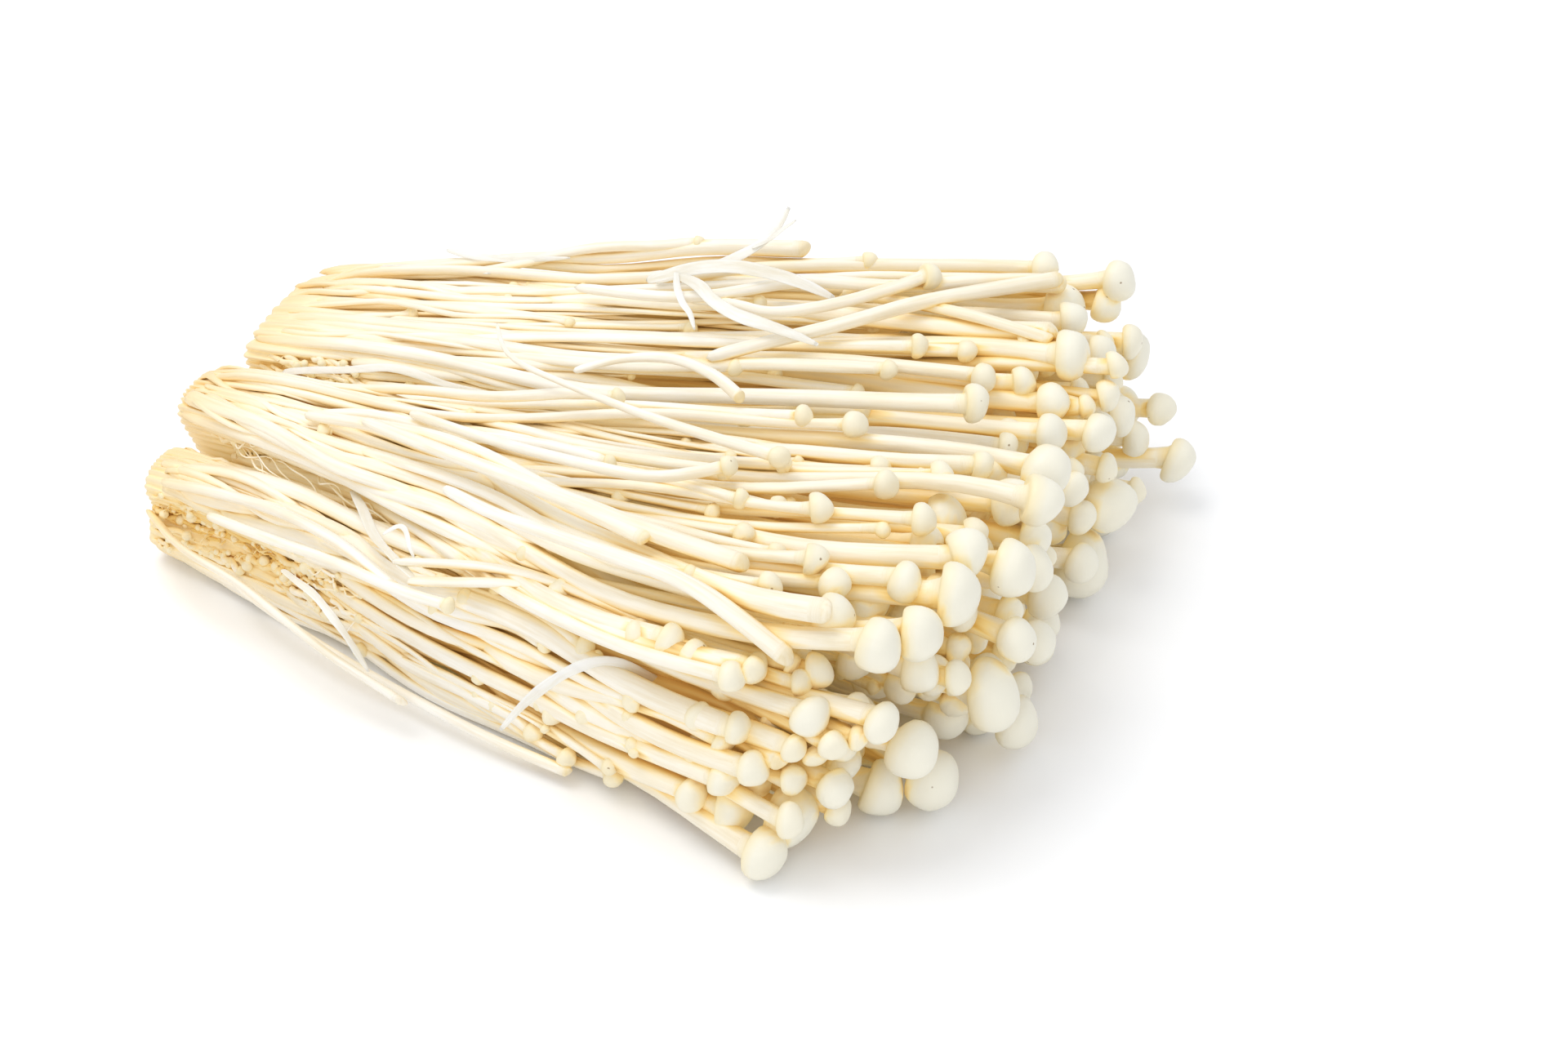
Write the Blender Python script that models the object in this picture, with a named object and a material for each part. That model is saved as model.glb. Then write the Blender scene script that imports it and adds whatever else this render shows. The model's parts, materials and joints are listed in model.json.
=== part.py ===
"""A bunch of enoki mushrooms lying on a table: three clumps of long thin stems, cut off at the foot
and opening towards their caps. Each clump grew as one piece, so it is one solid: a ridged core of
stems pressed together, with the free stems, caps and torn strips standing out of it.

Row frame: +X runs along the stems from the cut foot to the caps, +Y across the bunch, +Z up.
The origin is on the table, under the middle of the bunch."""

import math
import random
from collections import namedtuple

import bmesh
import bpy
from mathutils import Vector

MM = 0.001

# ---- driving dimensions, in millimetres ------------------------------------------------------

FOOT_X = -77.5  # the cut ends of the stems
TIP_X = 60.0  # where a clump is fully open
STEM_AT_FOOT = 1.05  # radius of a stem beside the foot
STEM_AT_CAP = 1.75  # radius of a full-grown stem under its cap
PIN_AT_CAP = 1.1  # radius of a short stem under its small cap
SURFACE_GAP = 0.25  # how far the lowest stems and caps stay above the table
NEIGHBOUR_GAP = 0.3  # how far a stem or a cap stays inside its own clump's sides
ROUNDING = 3.2  # a clump's cross-section: 2 is an ellipse, more is squarer
BULGES_FROM = 8  # above this height a clump bulges over its neighbour at the foot

# A clump's cross-section lies between a front side and a rear side, and grows from foot to tips.
# Each side is the place (across) at the section's middle height, its lean, mm across per mm up, and
# its lean at the foot, which fades towards the tips. Its long stems end between two places along, one
# at its front side and one at its rear side. Last come its rings of stems from the outside in: how
# many each has, and how few of them are modelled.
Clump = namedtuple(
    "Clump",
    "name foot_front foot_rear foot_high tip_front tip_rear tip_high front_lean rear_lean mid_high"
    " front_bulge rear_bulge ends_front ends_rear ring_counts ring_kept",
)
CLUMPS = [
    Clump("rear_clump", 12.6, 35.5, 23, 10.6, 62, 36, 0, 0.05, 18,
          -0.85, 0, 63, 54, (40, 30, 20), (4, 6, 12)),
    Clump("middle_clump", -9, 11.6, 25, -39, 9.2, 39.5, -0.72, 0, 20,
          -0.55, -0.85, 58, 61, (44, 34, 24), (4, 6, 12)),
    Clump("front_clump", -28, -9.9, 18, -66, -41.2, 26.5, 0.25, -0.72, 20,
          0, -0.55, 39, 58, (26, 16, 8), (2, 3, 4)),
]

# The full-grown caps that show at the end of the bunch: along, across, up and cap diameter.
END_CAPS = {
    "rear_clump": [
        (45, 62, 35.5, 5.4), (57, 62, 35, 6.8), (55, 58, 30.5, 6.2), (61, 54, 27, 5.2), (57, 34, 36, 7.8),
        (51, 28, 33, 5.4), (56, 27, 31, 6.4), (48, 14, 37, 5.4), (66, 56, 14, 5.4), (64, 49, 12, 5.6),
        (71, 51, 8, 7.0), (62, 34, 23, 6.4), (67, 26, 15, 9.2), (64, 21, 5, 10.8), (68, 36, 11, 4.6),
        (59, 19, 31, 6.2), (63, 43, 20, 6.6), (60, 50, 6, 6.6),
    ],
    "middle_clump": [
        (63, 5, 34, 8.4), (60, -3, 33, 7.4), (54, 0, 36, 4.6), (48, -26, 34, 4.8), (60, -24, 38, 7.4),
        (66, -20, 34, 8.4), (64, -4, 27.5, 7.0), (62, -32.5, 36.5, 9.0), (59, -40, 34.5, 8.2),
        (55, -46.5, 35.5, 7.8), (58, -37, 25.5, 6.8), (69, -25, 25, 6.8), (67, -29, 17.5, 10.4),
        (67, -11, 28, 6.6), (68, -20.5, 6, 7.4), (66, -2, 16, 7.2), (68, -12, 15, 6.8), (63, 3, 6, 7.4),
    ],
    "front_clump": [
        (41, -49, 20, 7.0), (45, -43, 18.5, 6.4), (37.5, -56.5, 22, 4.8), (31, -57.5, 21, 4.6),
        (36, -60, 13.5, 5.6), (45, -54, 7, 9.2), (43.5, -62, 4.3, 7.4), (54, -41, 5, 8.2),
        (61, -36.5, 5.5, 9.4), (60, -38, 16.5, 8.6), (52, -37, 13, 5.0), (36, -45, 22, 5.2),
        (50, -46, 12, 6.0),
    ],
}

# Short stems with small caps that end on top of the bunch, in the same four values.
TOP_PINS = {
    "rear_clump": [
        (29, 45, 37, 3.8), (16, 56, 33, 3.2), (-12, 49, 33, 2.4), (34, 27, 36, 3.8), (41, 30, 35, 3.8),
        (49, 35, 35, 4.2), (32, 19, 36, 3.2), (46, 24, 35, 4.6), (5, 32, 34, 2.8), (8, 15, 33, 2.8),
    ],
    "middle_clump": [
        (33, 3, 37, 4.4), (25, 2, 37, 3.2), (20, -18, 38, 3.0), (27, -12, 37, 2.8), (44, -14, 39, 4.2),
        (50, -7, 38, 4.6), (37, -23, 39, 4.6), (25, -24, 38, 3.0), (52, -20, 39, 4.8), (41, -35, 39, 4.8),
        (45, -37, 37, 5.0), (37, -42, 38, 4.2), (25, -43, 37, 3.2), (2, -20, 36, 2.6), (-4, -3, 36, 2.6),
    ],
    "front_clump": [
        (10, -50, 23, 3.2), (-12, -46, 22, 2.6), (8, -52, 4, 3.0), (33, -49, 24, 4.6),
    ],
}

# Stems that snapped: they end bare, lie on top of the bunch, and start at another place across.
BROKEN_STEMS = {
    "rear_clump": [(49, 51, 37, 30), (52, 37, 37, 44), (5, 53, 34, 46)],
    "middle_clump": [(47, -47, 40, -18), (40, -43, 30, -20)],
    "front_clump": [(44, -56, 19, -50)],
}

Stem = namedtuple("Stem", "clump tip_at cap root_slot starts radius wave kind")


def between(start, end, share):
    return start + (end - start) * share


# ---- where the stems run ---------------------------------------------------------------------


def opening(along):
    """How far a clump has opened at this place: 0 at the foot and 1 at the tips."""
    share = (along - FOOT_X) / (TIP_X - FOOT_X)
    return max(share, 0.0) ** 1.12


def leaning(share, above):
    """How much of its full lean a side has: in its upper half it sags most halfway along."""
    share = min(share, 1.0)
    return share * (7 - 6 * share) if above else share


def section(clump, along, up):
    """(front side, rear side, height) of a clump's cross-section, at one place and height."""
    share = opening(along)
    lean = leaning(share, up > clump.mid_high) * (up - clump.mid_high)
    bulge = max(1 - share, 0) * max(up - BULGES_FROM, 0)
    front = between(clump.foot_front, clump.tip_front, share)
    front += clump.front_lean * lean + clump.front_bulge * bulge
    rear = between(clump.foot_rear, clump.tip_rear, share)
    rear += clump.rear_lean * lean + clump.rear_bulge * bulge
    high = between(clump.foot_high, clump.tip_high, min(share, 1.0) ** 0.8)
    return front, rear, high


def place(clump, slot, along):
    """The point at a slot of the cross-section: slot is (-1 to 1 across, 0 to 1 up)."""
    up = slot[1] * section(clump, along, 0)[2]
    front, rear, _ = section(clump, along, up)
    return Vector((along, between(front, rear, (slot[0] + 1) / 2), up))


def slot_of(clump, point):
    """The slot that holds a point."""
    front, rear, high = section(clump, point[0], point[2])
    return (2 * (point[1] - front) / (rear - front) - 1, point[2] / high)


BALL_TURNS = [math.pi * k / 12 for k in range(-5, 6)]  # where a ball is tested against the sides


def held_in(clump, point, radius):
    """The point moved, if need be, so that a ball round it stays in its clump and off the table."""
    up = max(point[2], radius + SURFACE_GAP)
    reach = radius + NEIGHBOUR_GAP
    sides = []
    for turn in BALL_TURNS:
        front, rear, _ = section(clump, point[0], up + reach * math.sin(turn))
        sides.append((front + reach * math.cos(turn), rear - reach * math.cos(turn)))
    across = max(point[1], max(front for front, _ in sides))
    return Vector((point[0], min(across, min(rear for _, rear in sides)), up))


def path_of(stem, count):
    """Points along a stem's middle, from where it starts to the underside of its cap."""
    clump = stem.clump
    tip_slot = slot_of(clump, stem.tip_at)
    points = []
    for i in range(count):
        share = i / (count - 1)
        along = between(stem.starts, stem.tip_at[0], share)
        whole = (along - FOOT_X) / (stem.tip_at[0] - FOOT_X)
        bend = whole * whole * (3 - 2 * whole)
        slot = [between(a, b, bend) for a, b in zip(stem.root_slot, tip_slot)]
        point = place(clump, slot, along)
        sway = math.sin(math.pi * whole)
        point.y += stem.wave[0] * sway * math.sin(math.tau * (stem.wave[2] + 1.3 * whole))
        point.z += stem.wave[1] * sway * math.sin(math.tau * (stem.wave[3] + 1.1 * whole))
        points.append(held_in(clump, point, radius_at(stem, along)))
    return points


def radius_at(stem, along):
    share = (along - FOOT_X) / (TIP_X - FOOT_X)
    return between(STEM_AT_FOOT, stem.radius, min(max(share, 0.0), 1.0) ** 0.9)


def rim_slot(turn, inset):
    """A slot on the rounded outline of the cross-section, moved in by a share of its half size."""
    c, s = math.cos(turn), math.sin(turn)
    reach = (abs(c) ** ROUNDING + abs(s) ** ROUNDING) ** (-1 / ROUNDING) * (1 - inset)
    return (c * reach, 0.5 + 0.5 * s * reach)


def waviness(rng, size):
    return (rng.uniform(-size, size), rng.uniform(0, size), rng.random(), rng.random())


def placed_stems(clump):
    """The stems set by hand: the end caps, the short pins on top and the broken stems."""
    rng = random.Random(clump.name)
    stems = []
    for table, radius, kind in ((END_CAPS, STEM_AT_CAP, "long"), (TOP_PINS, PIN_AT_CAP, "pin")):
        for *tip, cap in table[clump.name]:
            tip = held_in(clump, tip, cap / 2)
            across, up = slot_of(clump, tip)
            root = (between(across, rng.uniform(-0.8, 0.8), 0.15), min(up, 0.94) - 0.02)
            thick = radius * rng.uniform(0.9, 1.12) * (0.75 + 0.04 * cap if kind == "long" else 1)
            stems.append(Stem(clump, tip, cap, root, FOOT_X, thick, waviness(rng, 0.7), kind))
    for along, across, up, root_across in BROKEN_STEMS[clump.name]:
        tip = held_in(clump, (along, across, up), STEM_AT_CAP)
        root = (slot_of(clump, (FOOT_X * 0.3, root_across, up))[0], 0.93)
        root = (min(max(root[0], -0.85), 0.85), root[1])
        stems.append(Stem(clump, tip, 0, root, FOOT_X, STEM_AT_CAP, waviness(rng, 0.5), "broken"))
    return stems


def clear_of(tip, cap, stems):
    """How far a cap is from touching the nearest other cap. It is negative where they overlap."""
    return min((tip - other.tip_at).length - (cap + other.cap) / 2 for other in stems)


def grown_stems(clump, stems):
    """The other stems of a clump, ring by ring from its outside in, fitted between those in stems."""
    rng = random.Random(clump.name + " grown")
    grown = []
    for ring, count in enumerate(clump.ring_counts):
        for i in range(count):
            turn = math.tau * (i + rng.uniform(0.3, 0.7)) / count
            slot = rim_slot(turn, 0.06 + 0.24 * ring)
            best = None
            for _ in range(12):
                short = ring == 0 and rng.random() < 0.3
                ends = between(clump.ends_front, clump.ends_rear, (slot[0] + 1) / 2)
                along = ends + (rng.uniform(-62, -14) if short else rng.uniform(-12, 6))
                cap = rng.uniform(2.4, 4.2) if short else rng.uniform(4.4, 7.8)
                tip = held_in(clump, place(clump, slot, along), cap / 2)
                room = clear_of(tip, cap, stems + grown)
                if best is None or room > best[0]:
                    best = (room, tip, cap, "pin" if short else "long")
                if room > 0.3:
                    break
            room, tip, cap, kind = best
            cap = max(cap + 1.6 * min(room, 0), 2.4)
            radius = (PIN_AT_CAP if kind == "pin" else STEM_AT_CAP) * rng.uniform(0.85, 1.1)
            grown.append(Stem(clump, tip, cap, slot, FOOT_X, radius, waviness(rng, 0.8), kind))
    return grown


# ---- the shape of one stem, cap or strip ------------------------------------------------------

CORE_FULL_TO = 4.0  # the core of pressed stems keeps its full size up to here
CORE_ENDS = 46.0  # and tapers to here, inside the free stems
CORE_INSET = 0.075  # its ridges stay this share of the half size inside the outermost stems
CORE_TAPER = 0.34  # how much further in its front end lies
CORE_RIDGES = 28
RIDGE_DEPTH = (0.03, 0.10)
FOOT_BITE = 1.5  # how deep the cut end is hollowed
FOOT_RAGGED = 1.6  # how unevenly the foot is cut
STEM_SIDES = 6
PIN_SIDES = 5
ROOT_SINKS = (3.4, 0.8)  # how far a free stem's first two points dip into the core
FREE_LENGTH = (40, 95)  # how much of a stem stands free, shortest and longest

# A cap's outline, from its neck to its crown: place along its axis and radius, per mm of diameter.
CAP_OUTLINE = [(-0.22, 0.41), (0.02, 0.50), (0.28, 0.36)]
CAP_CROWN = 0.42

# The skins of split stems that curl over the bunch: route points, width, and the clump they grew on.
STRIP_THICK = 0.8
STRIPS = [
    ("rear_clump", 3.6, [(-15, 36, 24), (-7, 41, 35), (0, 47, 38), (4, 52, 41), (6, 57, 44)]),
    ("rear_clump", 2.2, [(-2, 42, 34), (0, 45, 38), (6, 50, 40), (10, 53, 41.5)]),
    ("rear_clump", 4.6, [(-20, 34, 28), (-12, 37, 35.5), (-3, 40, 37.5), (6, 40, 37), (14, 40, 31)]),
    ("rear_clump", 2.4, [(-14, 33, 29), (-8, 29, 35.5), (-4, 23, 36), (-1, 18, 33), (0, 15, 29)]),
    ("front_clump", 2.8, [(21, -45, 17), (16, -50, 24), (11, -53.5, 23), (5, -55, 18), (0, -55, 10)]),
]


def frame_round(heading):
    """Two directions square to a heading, the first as upright as it can be."""
    heading = heading.normalized()
    upright = (Vector((0, 0, 1)) - heading * heading.z).normalized()
    return upright, heading.cross(upright)


def cap_axis(stem, heading):
    """The way a cap faces: on along its stem, turned aside or drooping a little."""
    aside = Vector((0, stem.wave[2] - 0.5, 0.25 - 0.6 * stem.wave[3]))
    return (heading.normalized() + aside * 0.8).normalized()


def ring(centre, heading, radius, sides):
    upright, sideways = frame_round(heading)
    turns = [math.tau * k / sides for k in range(sides)]
    return [centre + (upright * math.sin(t) + sideways * math.cos(t)) * radius for t in turns]


def closed_tube(rings, first, last):
    """Mesh data of a tube through rings of points, closed by a point at each end."""
    sides = len(rings[0])
    points = [p for one in rings for p in one] + [first, last]
    faces = []
    for r in range(len(rings) - 1):
        for k in range(sides):
            a, b = r * sides + k, r * sides + (k + 1) % sides
            faces.append((a, a + sides, b + sides, b))
    end = (len(rings) - 1) * sides
    for k in range(sides):
        faces.append((len(points) - 2, k, (k + 1) % sides))
        faces.append((len(points) - 1, end + (k + 1) % sides, end + k))
    return points, faces


def stem_shape(stem, sides, count):
    """Mesh data of a free stem and its cap, from its root in the core to the crown."""
    points = path_of(stem, count + 1)
    for i, depth in enumerate(ROOT_SINKS):
        middle = place(stem.clump, (0, 0.5), points[i].x)
        points[i] += (middle - points[i]).normalized() * depth
    heading = points[-1] - points[-2]
    rings = []
    for i, point in enumerate(points[:-1]):
        ahead = points[i + 1] - points[max(i - 1, 0)]
        rings.append(ring(point, ahead, radius_at(stem, point.x), sides))
    if stem.kind == "broken":
        rings.append(ring(points[-1], heading, radius_at(stem, points[-1].x), sides))
        return closed_tube(rings, points[0], points[-1])
    axis = cap_axis(stem, heading)
    neck = points[-1] - axis * stem.cap * 0.30
    rings.append(ring(neck, neck - points[-2], stem.radius * 0.95, sides))
    for along, radius in CAP_OUTLINE:
        rings.append(ring(points[-1] + axis * along * stem.cap, axis, radius * stem.cap, sides))
    return closed_tube(rings, points[0], points[-1] + axis * CAP_CROWN * stem.cap)


def core_shape(clump):
    """Mesh data of the stems pressed together: a ridged body, flat underneath, cut off at the foot."""
    rng = random.Random(clump.name + " core")
    stations = [FOOT_X, -64, -50, -36, -22, -8, CORE_FULL_TO, 24, CORE_ENDS]
    grooves = [rng.uniform(*RIDGE_DEPTH) * (k % 2) for k in range(2 * CORE_RIDGES)]
    rings = []
    for along in stations:
        taper = max(along - CORE_FULL_TO, 0) / (CORE_ENDS - CORE_FULL_TO)
        drift = rng.uniform(-0.02, 0.02)
        points = []
        for k, groove in enumerate(grooves):
            turn = math.pi * (k + rng.uniform(-0.25, 0.25)) / CORE_RIDGES + drift
            inset = CORE_INSET + CORE_TAPER * taper + groove + rng.uniform(-0.012, 0.012)
            slot = rim_slot(turn, inset)
            point = place(clump, slot, along)
            if along == FOOT_X:
                point.x += rng.uniform(0, FOOT_RAGGED)
            if slot[1] < 0.14 and taper == 0:
                point.z = 0.0
            points.append(point)
        rings.append(points[::-1])
    first = place(clump, (0, 0.5), FOOT_X + FOOT_BITE)
    return closed_tube(rings, first, place(clump, (0, 0.5), CORE_ENDS + 4))


def strip_shape(width, route):
    """Mesh data of a thin curled blade, pointed at both ends."""
    points = [Vector(p) for p in route]
    rings = []
    for i, point in enumerate(points):
        ahead = points[min(i + 1, len(points) - 1)] - points[max(i - 1, 0)]
        upright, sideways = frame_round(ahead)
        half = width / 2 * (0.45 if i in (0, len(points) - 1) else 1.0)
        corners = [(-half, -1), (half, -1), (half, 1), (-half, 1)]
        rings.append([point + sideways * w + upright * t * STRIP_THICK / 2 for w, t in corners])
    return closed_tube(rings, rings[0][0].lerp(rings[0][2], 0.5), rings[-1][0].lerp(rings[-1][2], 0.5))


# ---- the three clumps -------------------------------------------------------------------------

WELD = 0.00002  # corners nearer than this become one
FLESH = [(0.88, 0.81, 0.62), (0.88, 0.80, 0.59), (0.87, 0.78, 0.56)]


def new_object(name, shape, collection):
    mesh = bpy.data.meshes.new(name)
    points, faces = shape
    mesh.from_pydata([p * MM for p in points], [], faces)
    made = bpy.data.objects.new(name, mesh)
    collection.objects.link(made)
    return made


def solid_stems(clump):
    """The stems that the solid has: all those placed by hand, and some of each ring of the others."""
    placed = placed_stems(clump)
    grown = grown_stems(clump, placed)
    kept = []
    for counted, every in zip(clump.ring_counts, clump.ring_kept):
        kept += grown[:counted][::every]
        grown = grown[counted:]
    return placed + kept


def keep_one_body(mesh):
    """Keep the largest closed surface: what the union sealed inside is filled, loose scraps go."""
    work = bmesh.new()
    work.from_mesh(mesh)
    bmesh.ops.remove_doubles(work, verts=work.verts, dist=WELD)
    left = set(work.faces)
    bodies = []
    while left:
        body = []
        border = [left.pop()]
        while border:
            face = border.pop()
            body.append(face)
            near = {other for edge in face.edges for other in edge.link_faces} & left
            left -= near
            border += near
        bodies.append(body)
    bodies.sort(key=len)
    for body in bodies[:-1]:
        bmesh.ops.delete(work, geom=body, context="FACES")
    work.to_mesh(mesh)
    work.free()


def make_clump(clump, material):
    """One clump: its core with every free stem and strip joined on by a single Boolean union."""
    body = new_object(clump.name, core_shape(clump), bpy.context.scene.collection)
    loose = bpy.data.collections.new(clump.name + "_stems")
    bpy.context.scene.collection.children.link(loose)
    for i, stem in enumerate(solid_stems(clump)):
        long = stem.kind == "long"
        free = between(*FREE_LENGTH, stem.wave[2])
        emerges = min(max(stem.tip_at.x - free, FOOT_X + 10), CORE_FULL_TO - 8)
        stem = stem._replace(starts=emerges)
        shape = stem_shape(stem, STEM_SIDES if long else PIN_SIDES, 3)
        new_object(f"{clump.name}_{i}", shape, loose)
    for name, width, route in STRIPS:
        if name == clump.name:
            new_object(clump.name + "_strip", strip_shape(width, route), loose)
    union = body.modifiers.new("Stems", "BOOLEAN")
    union.operation = "UNION"
    union.operand_type = "COLLECTION"
    union.collection = loose
    bpy.context.view_layer.objects.active = body
    bpy.ops.object.modifier_apply(modifier=union.name)
    for stem in list(loose.objects):
        bpy.data.objects.remove(stem)
    bpy.data.collections.remove(loose)
    keep_one_body(body.data)
    body.data.shade_smooth()
    body.data.set_sharp_from_angle(angle=math.radians(75))
    body.data.materials.append(material)
    return body


def mushroom_flesh(name, color):
    material = bpy.data.materials.new(name)
    material.use_nodes = True
    shader = material.node_tree.nodes["Principled BSDF"]
    shader.inputs["Base Color"].default_value = (*color, 1)
    shader.inputs["Roughness"].default_value = 0.45
    shader.inputs["Metallic"].default_value = 0.0
    return material


def main():
    for old in list(bpy.data.objects):
        bpy.data.objects.remove(old)
    for clump, color in zip(CLUMPS, FLESH):
        make_clump(clump, mushroom_flesh(clump.name + "_flesh", color))


main()
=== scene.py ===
import json
import math
import random
from collections import namedtuple

import bpy
import numpy as np
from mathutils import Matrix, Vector, noise
from mathutils.bvhtree import BVHTree

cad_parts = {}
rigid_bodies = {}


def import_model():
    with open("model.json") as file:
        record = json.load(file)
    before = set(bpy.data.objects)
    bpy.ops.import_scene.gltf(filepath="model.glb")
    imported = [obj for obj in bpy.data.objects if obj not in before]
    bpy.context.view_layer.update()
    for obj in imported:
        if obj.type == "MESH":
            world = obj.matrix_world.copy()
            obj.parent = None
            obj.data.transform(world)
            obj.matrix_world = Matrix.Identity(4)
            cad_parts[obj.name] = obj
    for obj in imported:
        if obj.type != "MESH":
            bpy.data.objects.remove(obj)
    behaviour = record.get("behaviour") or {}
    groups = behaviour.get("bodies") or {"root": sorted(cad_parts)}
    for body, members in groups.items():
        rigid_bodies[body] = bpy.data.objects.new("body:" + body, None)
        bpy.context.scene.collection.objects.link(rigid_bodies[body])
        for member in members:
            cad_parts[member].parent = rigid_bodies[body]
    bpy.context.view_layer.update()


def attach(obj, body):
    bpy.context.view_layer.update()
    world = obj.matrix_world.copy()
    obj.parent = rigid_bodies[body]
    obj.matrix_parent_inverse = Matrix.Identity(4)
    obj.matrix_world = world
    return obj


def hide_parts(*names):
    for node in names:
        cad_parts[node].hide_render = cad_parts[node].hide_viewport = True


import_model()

# ==== Camera, table and light ====
# The bunch lies on a white table. The camera looks down at its front side from the cap end, through
# a long lens. One big soft light stands over the foot end and a weak one in front fills the shade.

LENS_MM = 85
CAMERA_TURN = math.radians(22)
CAMERA_RISE = math.radians(36)
CAMERA_FAR = 0.604
CAMERA_AIM = Vector((0.0135, 0.0215, 0))


def srgb(hex_color):
    """A hex colour as the linear values that Blender's sockets take."""
    values = [int(hex_color[i : i + 2], 16) / 255 for i in (1, 3, 5)]
    return [v / 12.92 if v <= 0.04045 else ((v + 0.055) / 1.055) ** 2.4 for v in values]


def aimed(thing, place, aim):
    """Puts a camera or a light in the scene, looking from one place at another."""
    made = bpy.data.objects.new(thing.name, thing)
    bpy.context.scene.collection.objects.link(made)
    made.location = place
    made.rotation_euler = (Vector(aim) - Vector(place)).to_track_quat("-Z", "Y").to_euler()
    return made


def add_light(name, place, size, power, color):
    light = bpy.data.lights.new(name, "AREA")
    light.shape = "DISK"
    light.size = size
    light.energy = power
    light.color = srgb(color)
    return aimed(light, place, (0, 0, 0.01))


camera = bpy.data.cameras.new("camera")
camera.lens = LENS_MM
camera.clip_start = 0.01
camera_back = Vector((
    math.sin(CAMERA_TURN) * math.cos(CAMERA_RISE),
    -math.cos(CAMERA_TURN) * math.cos(CAMERA_RISE),
    math.sin(CAMERA_RISE),
))
bpy.context.scene.camera = aimed(camera, CAMERA_AIM + camera_back * CAMERA_FAR, CAMERA_AIM)
bpy.context.scene.view_settings.view_transform = "Standard"

add_light("key_light", (-0.32, 0.02, 0.82), 0.60, 2.85, "#FFFDF8")
add_light("front_light", (0.22, -0.75, 0.42), 0.50, 0.9, "#FFFDF8")


def set_sockets(holder, node, inputs):
    """Gives each socket what it needs: a value, a hex colour, or the output of another node."""
    for name, value in inputs.items():
        socket = node.inputs[name]
        if isinstance(value, bpy.types.NodeSocket):
            holder.node_tree.links.new(value, socket)
        elif isinstance(value, str):
            socket.default_value = (*srgb(value), 1)
        else:
            socket.default_value = value


def new_material(name):
    """A material with its Principled shader, whose sockets are then set."""
    material = bpy.data.materials.new(name)
    material.use_nodes = True
    return material, material.node_tree.nodes["Principled BSDF"]


world = bpy.data.worlds.new("studio")
bpy.context.scene.world = world
world.use_nodes = True
set_sockets(world, world.node_tree.nodes["Background"], {"Color": "#F7FAFF", "Strength": 0.90})

bpy.ops.mesh.primitive_plane_add(size=6)
table = bpy.context.object
table.name = "table_top"
table_paint, shader = new_material("white_lacquered_table")
set_sockets(table_paint, shader, {"Base Color": "#FDFDFE", "Roughness": 0.35})
table.data.materials.append(table_paint)

# ==== Stems and caps ====
# Cultivated enoki: pale stems grown crowded in a jar, so they are long and thin, lean on each other
# and all end near one height, each with a small round cap. Shorter ones are left behind among them.
# The stems of each clump are joined at the foot, so a clump's mushrooms are one piece.

noise.seed_set(5)  # vector noise would otherwise differ from run to run

MM = 0.001
FOOT_X = -77.5  # the cut ends of the stems, in millimetres like everything in this section
TIP_X = 60.0  # where a clump is fully open
STEM_AT_FOOT = 1.05  # radius of a stem beside the foot
STEM_AT_CAP = 1.75  # radius of a full-grown stem under its cap
PIN_AT_CAP = 1.1  # radius of a short stem under its small cap
TABLE_GAP = 0.25  # how far the lowest stems and caps stay above the table
NEIGHBOUR_GAP = 0.3  # how far a stem or a cap stays inside its own clump's sides
ROUNDING = 3.2  # a clump's cross-section: 2 is an ellipse, more is squarer
BULGES_FROM = 8  # above this height a clump bulges over its neighbour at the foot

# A clump's cross-section lies between a front and a rear side. Each is its place across, at the
# section's middle height, its lean, mm across per mm up, and its bulge, which fades from the foot to
# the tips. Its long stems end between two places along, at its front and rear side. Last come the
# numbers of stems in its rings, from the outside in.
Clump = namedtuple(
    "Clump",
    "name foot_front foot_rear foot_high tip_front tip_rear tip_high front_lean rear_lean mid_high"
    " front_bulge rear_bulge ends_front ends_rear ring_counts",
)
CLUMPS = [
    Clump("rear_clump", 12.6, 35.5, 23, 10.6, 62, 36, 0, 0.05, 18,
          -0.85, 0, 63, 54, (40, 30, 20, 8)),
    Clump("middle_clump", -9, 11.6, 25, -39, 9.2, 39.5, -0.72, 0, 20,
          -0.55, -0.85, 58, 61, (44, 34, 24, 9)),
    Clump("front_clump", -28, -9.9, 18, -66, -41.2, 26.5, 0.25, -0.72, 20,
          0, -0.55, 39, 58, (26, 16, 8, 3)),
]

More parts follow.
